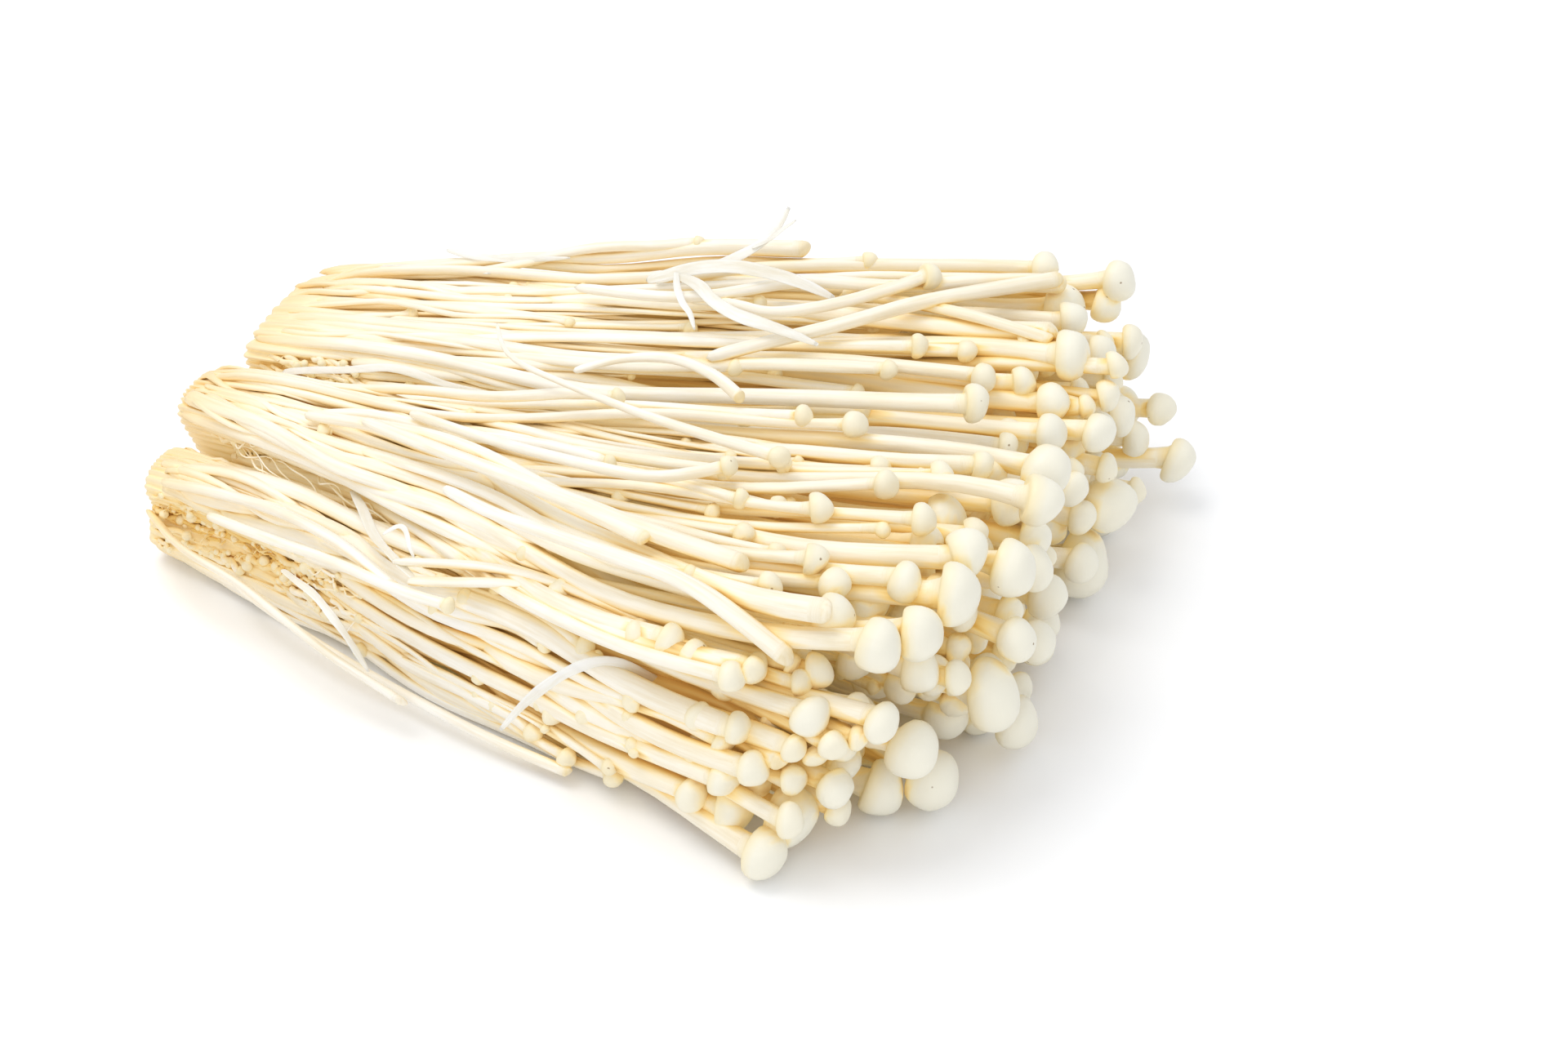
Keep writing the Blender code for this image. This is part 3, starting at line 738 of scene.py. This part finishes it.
def stem_looks(stem, shares, rng):
    """The path, half widths and twist of a stem in its clump, with its own bends and flatness."""
    clump = stem.clump
    way = way_round(slot_of(clump, stem.tip_at))
    if stem.ring == 0 and stem.kind != "broken" and rng.random() < 0.5:
        stem = stem._replace(root_slot=turned_slot(stem.root_slot, rng.uniform(-0.5, 0.5)))
    first = 0
    for name, along, turn, half_long, half_turn, _ in HOLLOWS:
        if name == clump.name and abs(way_round(stem.root_slot) - turn) < half_turn and stem.ring == 0:
            # It lost its lower end, and starts anew where the hollow ends.
            first = (along + half_long * rng.uniform(0.4, 1.3) - FOOT_X) / (stem.tip_at[0] - FOOT_X)
    path = path_of(stem, [between(min(first, 0.6), 1, share) for share in shares])
    path = wandering(path, rng, STRAYING[clump.name] * (0.75 if stem.kind == "pin" else 1))
    path[0].x += rng.uniform(*STARTS_AT) if stem.ring == 0 else rng.uniform(0, 1.5)
    path[:-1] = [
        hollowed(clump, held_in(clump, point, 0.9 * radius_at(stem, point.x))) for point in path[:-1]
    ]
    if stem.ring == 0:
        path[0] += (place_at(clump, (0, 0.5), path[0].x) - path[0]).normalized() * STARTS_BELOW
    foot_wide = rng.uniform(1.0, FUSED_WIDTH[clump.name]) if stem.ring == 0 else rng.uniform(1.0, 1.6)
    tip_wide, tip_thin = rng.uniform(0.95, 1.15), rng.uniform(0.85, 1.0)
    wide, thin = [], []
    for share in shares:
        size = between(0.85, stem.radius * STOUTNESS[clump.name], share**1.1) * rng.uniform(0.92, 1.08)
        wide.append(size * between(foot_wide, tip_wide, share**0.4))
        thin.append(size * between(0.8, tip_thin, share))
    return path, wide, thin, math.pi / 2 - way + rng.uniform(-0.4, 0.4)


full_grown = straight_mushroom(8, 12, CAP_OUTLINE, CAP_CROWN)
slender = straight_mushroom(5, 8, HEAD_OUTLINE, HEAD_CROWN)

for clump in CLUMPS:
    rng = random.Random(clump.name + " looks")
    placed = placed_stems(clump)
    mushrooms = []
    for stem in placed + grown_stems(clump, placed):
        looks = stem_looks(stem, full_grown.shares, rng)
        tall = 1.15 if stem.kind == "pin" else rng.uniform(0.98, 1.18)
        mushrooms.append(grow(full_grown, clump, *looks, stem.cap, rng, tall))
    piece = join_up(mushrooms, clump.name + "_mushrooms")
    finish_flesh(piece, flesh)
    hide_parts(clump.name)

# ==== Slender stems ====
# Between the full-grown mushrooms stand as many that stopped early: thread-thin stems with heads of
# two or three millimetres. They fill the furrows all round a clump, and half end before halfway.

SLENDER_COUNTS = {"rear_clump": 110, "middle_clump": 120, "front_clump": 54}
SLENDER_REACH = {"rear_clump": 50, "middle_clump": 50, "front_clump": 24}

for clump in CLUMPS:
    rng = random.Random(clump.name + " slender")
    mushrooms = []
    for i in range(SLENDER_COUNTS[clump.name]):
        above = i % 3 > 0
        turn = rng.uniform(-0.5, math.pi + 0.5) if above else rng.uniform(math.pi, math.tau)
        slot = rim_slot(turn, rng.uniform(0.01, 0.12))
        cap = rng.uniform(1.6, 3.0)
        along = between(-62, SLENDER_REACH[clump.name], rng.random() ** 0.8)
        tip = held_in(clump, place_at(clump, slot, along), cap / 2)
        radius = rng.uniform(0.5, 0.95)
        root = turned_slot(slot, rng.uniform(-0.25, 0.25))
        stem = Stem(clump, tip, cap, root, radius, waviness(rng, 1.0), "pin", 0)
        path, wide, thin, twist = stem_looks(stem, slender.shares, rng)
        slimmer = [between(0.7, radius / STEM_AT_FOOT, share) for share in slender.shares]
        wide, thin = ([w * s for w, s in zip(widths, slimmer)] for widths in (wide, thin))
        mushrooms.append(grow(slender, clump, path, wide, thin, twist, cap, rng, 1.1))
    finish_flesh(join_up(mushrooms, clump.name + "_slender_stems"), flesh)

# ==== Stems in the fold ====
# The middle clump leans over the front one. Mushrooms of the front clump that grew up into the fold
# between them lie along it, one above another, and fill it as far as the cap end.

FOLD_STEMS = 26

middle, front = CLUMPS[1], CLUMPS[2]
rng = random.Random("fold")
mushrooms = []
for _ in range(FOLD_STEMS):
    tip_along = rng.uniform(2, 47)
    lift, off = rng.uniform(0.0, 8.5), rng.uniform(0.5, 6.5)
    path = []
    for share in full_grown.shares:
        along = between(FOOT_X + 9, tip_along, share)
        opened = min(opening(along) * 1.5, 1)
        up = section(front, along, 0)[2] - between(5, 1, min(opened * 1.4, 1)) + lift * opened
        across = section(middle, along, up)[0] - off * opened + 0.5
        path.append(Vector((along, across, up)))
    path = wandering(path, rng, 2.5)
    radius = rng.uniform(1.1, 1.8)
    size = [between(0.85, radius, share) for share in full_grown.shares]
    cap = rng.uniform(2.6, 5.6)
    wide = [w * rng.uniform(1.0, 1.25) for w in size]
    mushrooms.append(grow(full_grown, front, path, wide, size, rng.uniform(0, 3), cap, rng, 1.05))
finish_flesh(join_up(mushrooms, "fold_mushrooms"), flesh)

# ==== Loose stems ====
# Stems that broke out of their clump when it was cut, and lie across the others on top. Some are
# bare and some keep their small head, and a few are split lengthwise into white ribbons.

Loose = namedtuple("Loose", "clump cap foot_wide foot_thin tip_wide tip_thin route")
LOOSE_STEMS = [
    Loose(1, 0, 0.9, 0.9, 2.2, 1.3, [
        (-18.5, -35.2, 36), (-7.9, -40.3, 37.6), (1, -42.4, 38.3), (15.3, -45.3, 39.2),
        (26.2, -47.2, 39.4), (36.2, -50, 37), (42.5, -51, 34),
    ]),
    Loose(1, 0, 1.0, 0.9, 1.4, 1.2, [
        (-52, -17, 29), (-26.9, -23.7, 36), (-13.8, -28.1, 38), (-3.3, -33.2, 39), (4.7, -36.3, 39.5),
        (16.6, -40.2, 39.8),
    ]),
    Loose(1, 0, 1.1, 0.9, 1.7, 1.4, [
        (-40, -20, 33), (-22, -28, 37), (-6, -33.2, 39), (6.8, -36.6, 39.8), (19, -39.2, 40),
        (31.4, -39.9, 39.2),
    ]),
    Loose(1, 3.4, 0.8, 0.7, 1.0, 1.0, [
        (-34.1, -15.5, 33), (-16.6, -22.6, 37), (3.2, -25.7, 39), (13.2, -25.9, 40), (21.7, -20.6, 41),
    ]),
    Loose(0, 3.4, 0.3, 0.3, 1.0, 1.0, [
        (-30, 7.9, 36.5), (-23.4, -1.7, 37.5), (-12.5, -6.3, 38.5), (3.2, -10.8, 39.3), (17, -13.3, 39.8),
        (27.4, -14.5, 40),
    ]),
    Loose(0, 0, 0.7, 0.6, 1.1, 1.0, [
        (-13.4, 0.2, 36), (-6.9, 4.3, 37.5), (1.3, 6, 38.5), (9.3, 3.4, 39), (14.5, 0.6, 38.2),
    ]),
    Loose(0, 0, 0.9, 0.9, 1.3, 1.2, [
        (-26.4, 28.2, 32), (-4.2, 26.8, 36), (10.2, 36.6, 37), (25.9, 39.8, 37.5), (37.3, 46.7, 37.6),
        (47.4, 51.6, 37),
    ]),
    Loose(0, 0, 1.2, 1.1, 1.5, 1.3, [
        (3, 14, 34), (13.9, 20.5, 36.6), (21, 24.9, 38), (30.7, 34.1, 39), (39.1, 41.4, 39), (48.6, 50, 38.4),
    ]),
    Loose(0, 0, 1.0, 0.9, 1.1, 1.0, [
        (16, 40, 34), (28.2, 37.2, 36.8), (38.6, 35.1, 38.4), (45.6, 34.6, 38.3), (52.6, 34.8, 37.3),
    ]),
    Loose(0, 4.4, 0.8, 0.8, 1.2, 1.1, [
        (-6, 29, 34), (2.6, 27.7, 36), (8.9, 25.9, 36.9), (16, 29.1, 37.7), (22.5, 34, 38.5),
        (30.1, 42.4, 39),
    ]),
    Loose(2, 0, 1.7, 0.7, 1.6, 1.0, [
        (-24.4, -41.7, 25), (-16.3, -41, 26.5), (-5.5, -41, 28.3), (6.1, -43.1, 29.5), (19.5, -46.8, 30),
        (29.3, -48.7, 29),
    ]),
    Loose(2, 0, 1.6, 0.7, 1.4, 0.9, [
        (-20.4, -44.6, 24.5), (-12.3, -43.7, 26), (-1.9, -42.9, 28), (8.9, -43.4, 29), (20, -46, 29),
    ]),
    Loose(2, 0, 1.2, 0.9, 1.5, 0.9, [
        (-72.3, -28.1, 18), (-61.8, -29.8, 20), (-48.6, -32.7, 21.8), (-34.3, -38.5, 23.3),
        (-22.2, -45.3, 23.5),
    ]),
    Loose(2, 0, 1.5, 0.6, 1.4, 0.7, [
        (-77, -25.4, 9.5), (-66.5, -33.2, 10), (-54.2, -37.5, 10), (-42.8, -42.9, 9.5), (-34.2, -46.1, 8),
        (-20, -50, 6),
    ]),
    Loose(2, 0, 0.6, 0.5, 1.0, 0.9, [
        (-60, -31, 5), (-53.6, -34.9, 5), (-36.2, -41.5, 4.5), (-20.1, -46.5, 4), (-4.8, -50, 3),
        (8.3, -52, 2.5),
    ]),
    Loose(2, 2.4, 0.8, 0.8, 0.9, 0.9, [
        (-62, -32, 17), (-48, -38, 20.5), (-34, -42.5, 23), (-20, -46.5, 24), (-12, -47.5, 24.3),
    ]),
]


def smooth_route(route, count):
    """Evenly spaced points on a smooth curve through the points of a route."""
    points = [Vector(p) for p in route]
    points = [2 * points[0] - points[1], *points, 2 * points[-1] - points[-2]]
    fine = []
    for a, b, c, d in zip(points, points[1:], points[2:], points[3:]):
        for k in range(10):
            t = k / 10
            point = 2 * b + (c - a) * t + (2 * a - 5 * b + 4 * c - d) * t**2
            fine.append(0.5 * (point + (3 * b - a - 3 * c + d) * t**3))
    fine.append(points[-2])
    reached = [0.0]
    for a, b in zip(fine, fine[1:]):
        reached.append(reached[-1] + (b - a).length)
    even = np.linspace(0, reached[-1], count)
    spread = [np.interp(even, reached, [p[axis] for p in fine]) for axis in range(3)]
    return [Vector(p) for p in zip(*spread)]


rng = random.Random("loose")
for number, clump in enumerate(CLUMPS):
    strays = []
    for loose in [stray for stray in LOOSE_STEMS if stray.clump == number]:
        path = smooth_route(loose.route, len(full_grown.shares))
        wide, thin = (
            [between(foot, tip, share) * rng.uniform(0.95, 1.05) for share in full_grown.shares]
            for foot, tip in ((loose.foot_wide, loose.tip_wide), (loose.foot_thin, loose.tip_thin))
        )
        twist = rng.uniform(-0.4, 0.4) + (0.6 if number == 2 else 0.2)
        strays.append(grow(full_grown, clump, path, wide, thin, twist, loose.cap, rng, 1.1))
    finish_flesh(join_up(strays, clump.name + "_loose_stems"), flesh)

# ==== Fused feet ====
# The lowest two centimetres of a clump have grown together into one spongy, ridged mass. It was cut
# off square at its end and has dried tan there, and it is open where outer stems were pulled away.
# It narrows to a core that runs on between the stems.

FOOT_SIDES = 190
FOOT_STEMS = 38  # how many fused stems show side by side round a foot
FOOT_GROOVE = 0.09  # how deep the furrow between two of them is, as a share of the half size
FOOT_TONE = 0.8  # it is of the warmer tone among the stems
FOOT_SHADE_DEPTH = 0.45  # and its painted amber shade never gets as deep as in the middle of a clump
# Its rings: how far each lies from the cut, and how far inside the clump's outline, as a share too.
FOOT_RINGS = [
    (0.4, 0.15), (1.0, 0.08), (2.2, 0.05), (5, 0.03), (9, 0.02), (15, 0.03), (23, 0.06), (33, 0.10),
    (46, 0.15), (62, 0.26),
]
FOOT_LONG = 62.0

for clump in CLUMPS:
    bpy.ops.mesh.primitive_cylinder_add(
        vertices=FOOT_SIDES,
        radius=MM,
        depth=FOOT_LONG * MM,
        end_fill_type="NGON",
        location=(0, 0, FOOT_LONG / 2 * MM),
    )
    bpy.ops.object.transform_apply(location=True, rotation=False, scale=False)
    foot = bpy.context.object
    bpy.ops.object.mode_set(mode="EDIT")
    for far, _ in FOOT_RINGS[1:-1]:
        bpy.ops.mesh.select_all(action="SELECT")
        bpy.ops.mesh.bisect(plane_co=(0, 0, far * MM), plane_no=(0, 0, 1))
    bpy.ops.mesh.select_mode(type="FACE")
    for far_end in (False, True):
        bpy.ops.mesh.select_all(action="DESELECT")
        bpy.ops.object.mode_set(mode="OBJECT")
        for face in foot.data.polygons:
            beyond = face.center.z > FOOT_LONG / 2 * MM
            face.select = len(face.vertices) > 4 and beyond == far_end
        bpy.ops.object.mode_set(mode="EDIT")
        for _ in range(2):
            bpy.ops.mesh.inset(thickness=0.35 * MM)
        bpy.ops.mesh.quads_convert_to_tris(ngon_method="BEAUTY")
    bpy.ops.object.mode_set(mode="OBJECT")
    mesh = foot.data
    made, grain, on_cut = [], [], []
    for vertex in mesh.vertices:
        x, y, z = vertex.co / MM
        far = min(max(z, FOOT_RINGS[0][0]), FOOT_LONG)
        inset = np.interp(far, [f for f, _ in FOOT_RINGS], [i for _, i in FOOT_RINGS])
        turn = math.atan2(y, x)
        size = math.hypot(x, y)
        around = Vector((4.0 * math.cos(turn), 4.0 * math.sin(turn), far * 0.06))
        ridge = noise.noise(around * 1.6 + Vector((0, 0, clump.foot_front)))
        rounded = abs(math.sin(FOOT_STEMS / 2 * turn + 1.5 * noise.noise(around * 0.8)))
        groove = FOOT_GROOVE * (1 - rounded) * min(size * 2, 1)
        rough = noise.noise(Vector((x * 3, y * 3, far * 0.3)))
        slot = rim_slot(turn, 1 - size * (1 - inset + 0.04 * ridge - groove))
        along = FOOT_X + far + (0.8 * rough if size < 0.99 else 0.3 * rough)
        point = hollowed(clump, place_at(clump, slot, along))
        point.z = max(point.z, TABLE_GAP)
        made.append(list(point))
        on_cut.append(1.0 if z < 0.2 else 0.0)
        grain.append((point.y, point.z, along) if on_cut[-1] else (turn * 9, size * 9, along))
    made = np.array(made)
    mesh.vertices.foreach_set("co", (made * MM).ravel())
    store(mesh, {
        "grain": np.array(grain),
        "foot_to_tip": (made[:, 0] - FOOT_X) / (TIP_X - FOOT_X),
        "cut_face": np.array(on_cut),
        "tone": np.full(len(made), FOOT_TONE),
        # its depth for the painted amber shade, held low at the foot
        "buried": np.minimum(depth_inside(clump, made), FOOT_SHADE_DEPTH),
    })
    bpy.ops.object.mode_set(mode="EDIT")
    bpy.ops.mesh.select_all(action="SELECT")
    bpy.ops.mesh.normals_make_consistent(inside=False)
    bpy.ops.object.mode_set(mode="OBJECT")
    foot.name = clump.name + "_fused_foot"
    finish_flesh(foot, flesh)

# ==== Pinheads and threads ====
# In the hollows of the feet stand the mushrooms that never grew: golden pins a few millimetres long.
# Fine golden threads, and white ones in the gap between two clumps, are torn edges of stems.

PIN_COUNTS = {"rear_clump": 30, "middle_clump": 24, "front_clump": 110}
THREAD_COUNTS = {"rear_clump": 8, "middle_clump": 10, "front_clump": 30}
HAIRS = 11  # pale threads drawn out between the feet of the middle and the front clump

# Both kinds in a hollow: how far they start from its middle, in half lengths along and half turns
# round, how deep under the skin, how far from the cut at least, how they lean, and how they stray.
Sprout = namedtuple("Sprout", "counts far round inset from_cut lean straying")
SPROUTS = [
    Sprout(PIN_COUNTS, (-0.9, 1.4), (-0.9, 1.2), 0.08, 1.5, [(2, 8), (-0.3, -2.2), (-0.8, 1.4)], 1.2),
    Sprout(THREAD_COUNTS, (-1.0, 1.5), (-0.9, 0.9), 0.02, 5, [(-5, 12), (0.5, -1.2), (-2.5, 2.5)], 4.0),
]

for clump in CLUMPS:
    rng = random.Random(clump.name + " pins")
    _, hollow, way, half_long, half_turn, _ = next(h for h in HOLLOWS if h[0] == clump.name)
    pins = []
    for sprout in SPROUTS:
        for _ in range(sprout.counts[clump.name]):
            along = max(hollow + half_long * rng.uniform(*sprout.far), FOOT_X + sprout.from_cut)
            slot = rim_slot(way + half_turn * rng.uniform(*sprout.round), sprout.inset)
            start = hollowed(clump, place_at(clump, slot, along))
            lean = Vector([rng.uniform(*reach) for reach in sprout.lean])
            path = wandering([start + lean * share for share in slender.shares], rng, sprout.straying)
            if sprout.counts is PIN_COUNTS:
                radius = rng.uniform(0.32, 0.62)
                size = [radius * rng.uniform(0.9, 1.1) for _ in path]
                cap = radius * rng.uniform(2.6, 3.6)
            else:
                size = [rng.uniform(0.10, 0.22)] * len(path)
                cap = 0
            pins.append(grow(slender, clump, path, size, size, 0, cap, rng, 1.1))
    for _ in range(HAIRS if clump is middle else 0):
        start = rng.uniform(-72, -40)
        stretch = rng.uniform(8, 26)
        path = []
        for share in slender.shares:
            along = start + stretch * share
            up = between(20, 19, share) + 2 * math.sin(math.pi * share)
            across = section(middle, along, up)[0] - between(0, 5.5, share)
            path.append(Vector((along, across, up)))
        size = [rng.uniform(0.12, 0.22)] * len(path)
        pins.append(grow(slender, clump, wandering(path, rng, 5.0), size, size, 0, 0, rng))
    finish_flesh(join_up(pins, clump.name + "_pinheads"), flesh)

# ==== Torn skins ====
# Where clumps were pulled apart, the skins of some stems tore off as thin wet ribbons. They are
# almost clear, curl at their edges and cling to the stems in arcs.

TornSkin = namedtuple("TornSkin", "clump half_width twist route")
TORN_SKINS = [
    TornSkin(0, 1.5, 0.5, [
        (-14.1, 33.2, 33), (-7.7, 35.1, 35.5), (-2.3, 37.8, 37.5), (1.6, 40.4, 39.5), (3.8, 43.7, 42),
        (4.2, 46.6, 43.6),
    ]),
    TornSkin(0, 0.8, 0.9, [(0.4, 39.8, 39), (2.6, 41.2, 40.4), (4.8, 42.4, 42), (6.4, 44, 43.2)]),
    TornSkin(0, 1.9, 0.2, [
        (-14.2, 30.1, 35), (-6.1, 31.4, 38.4), (3.5, 32.4, 39.8), (11.5, 33.4, 38.8), (17, 33.8, 37),
    ]),
    TornSkin(0, 1.0, 0.4, [(-8.8, 30.4, 37.8), (-5.7, 24.5, 38), (-2.6, 20.7, 37.8), (-0.1, 17.4, 36.8)]),
    TornSkin(0, 1.8, 0.3, [
        (-8.7, 30.4, 37.2), (-3, 26.5, 38.5), (0.2, 23.4, 38.9), (7.4, 19.6, 39.2), (13.9, 18.7, 38.8),
        (19.8, 19.5, 37.5),
    ]),
    TornSkin(0, 0.9, 0.0, [(-54, 37.3, 27.5), (-49.1, 36.5, 28), (-42.5, 37, 28.5), (-32.3, 39.8, 29.5)]),
    TornSkin(0, 0.8, 0.2, [(-73.5, 34.1, 21.5), (-68.8, 34, 22.4), (-56.6, 34.4, 25), (-44.1, 33.7, 27.2)]),
    TornSkin(2, 1.6, 0.9, [
        (-38.9, -26.1, 24), (-31.6, -34.6, 25.5), (-23.5, -41.7, 25.6), (-17.5, -44.9, 24.6),
    ]),
    TornSkin(2, 0.7, 0.3, [
        (-28.7, -36, 25), (-25.7, -35.8, 27.2), (-22.7, -38.8, 27.2), (-20.9, -40.7, 25.5),
    ]),
    TornSkin(2, 1.3, 0.8, [(-42.6, -43, 19.5), (-31.2, -49, 18.4), (-24.1, -51.5, 11.5)]),
    TornSkin(2, 1.4, 0.4, [
        (21, -45, 18), (16, -50, 24.4), (11, -53.5, 23.6), (5, -55.5, 18.4), (0, -56, 11),
    ]),
    TornSkin(1, 0.9, 0.2, [(-78.1, -5, 18), (-65.9, -11.3, 23.6), (-54.3, -13.3, 27), (-44.6, -15.1, 29.5)]),
    TornSkin(0, 1.2, 0.2, [
        (-67.9, 4, 20), (-53.4, 3, 25), (-46.8, 3.5, 26.5), (-35.8, -0.4, 28.5), (-27, -2, 30),
    ]),
]

SKIN_THIN = 0.13  # half the thickness of a ribbon

skin, shader = new_material("torn_enoki_skin")
grain = add_node(skin, "Attribute", {}, "Vector", attribute_name="grain")
along_fibres = add_node(skin, "Mapping", {"Vector": grain, "Scale": (1, 1, 1 / 20)})
fibres = add_node(skin, "TexNoise", {"Vector": along_fibres, "Scale": 1.6, "Detail": 4, "Roughness": 0.65})
color = add_node(skin, "ValToRGB", {"Fac": fibres}, stops=[(0.35, "#F1EBDA"), (0.6, "#FDFCF8")])
creases = add_node(skin, "Bump", {"Height": fibres, "Strength": 0.6, "Distance": 0.0003})
set_sockets(skin, shader, {
    "Base Color": color,
    "Roughness": 0.3,
    "IOR": 1.38,
    "Alpha": 0.72,
    "Normal": creases,
})

rng = random.Random("torn skins")
for number, clump in enumerate(CLUMPS):
    ribbons = []
    for torn in [ribbon for ribbon in TORN_SKINS if ribbon.clump == number]:
        path = wandering(smooth_route(torn.route, len(full_grown.shares)), rng, 0.8)
        wide = []
        for share in full_grown.shares:
            taper = 0.35 + 0.65 * math.sin(math.pi * min(0.1 + 0.9 * share, 1)) ** 0.5
            wide.append(torn.half_width * 0.65 * taper * rng.uniform(0.8, 1.15))
        thin = [SKIN_THIN] * len(wide)
        upright, sideways = frame_round(path[-1] - path[0])
        broadside = math.atan2(-sideways.dot(camera_back), upright.dot(camera_back))
        ribbons.append(grow(full_grown, clump, path, wide, thin, broadside + torn.twist, 0, rng))
    finish_flesh(join_up(ribbons, clump.name + "_torn_skins"), skin)

for shape in (full_grown, slender):
    bpy.data.objects.remove(shape.piece)

# ==== Painted shade in the gaps ====
# Each point of the flesh stores how closed in it is: short feelers go out from it, and each that meets flesh
# counts, the more the sooner it does. The flesh material paints gold and brown shade and a faint glow by it,
# where the stems close in.

FEELER_LONG = 6.0
FEELER_STARTS = 0.35  # just off the surface
FEELER_SPREAD = math.radians(55)
FEELERS = 5

fleshy = [piece for piece in bpy.context.scene.objects if flesh.name in piece.material_slots]
corners, sides = [], []
for piece in fleshy:
    first = len(corners)
    corners += [vertex.co[:] for vertex in piece.data.vertices]
    sides += [[first + k for k in face.vertices] for face in piece.data.polygons]
flesh_tree = BVHTree.FromPolygons(corners, sides)
for piece in fleshy:
    places, normals = read(piece.data, "co"), read(piece.data, "normal")
    least = np.eye(3)[np.argmin(np.abs(normals), axis=1)]
    across = np.cross(normals, least)
    across /= np.linalg.norm(across, axis=1)[:, None]
    beside = np.cross(normals, across)
    closed = np.zeros(len(places))
    for k in range(FEELERS):
        turn = math.tau * k / (FEELERS - 1)
        spread = FEELER_SPREAD if k < FEELERS - 1 else 0.0
        ways = (across * math.cos(turn) + beside * math.sin(turn)) * math.sin(spread)
        ways += normals * math.cos(spread)
        starts = places + ways * FEELER_STARTS * MM
        for i, (start, way) in enumerate(zip(starts.tolist(), ways.tolist())):
            far = flesh_tree.ray_cast(start, way, FEELER_LONG * MM)[3]
            if far is not None:
                closed[i] += (1 - far / (FEELER_LONG * MM)) / FEELERS
    store(piece.data, {"closed_in": closed})
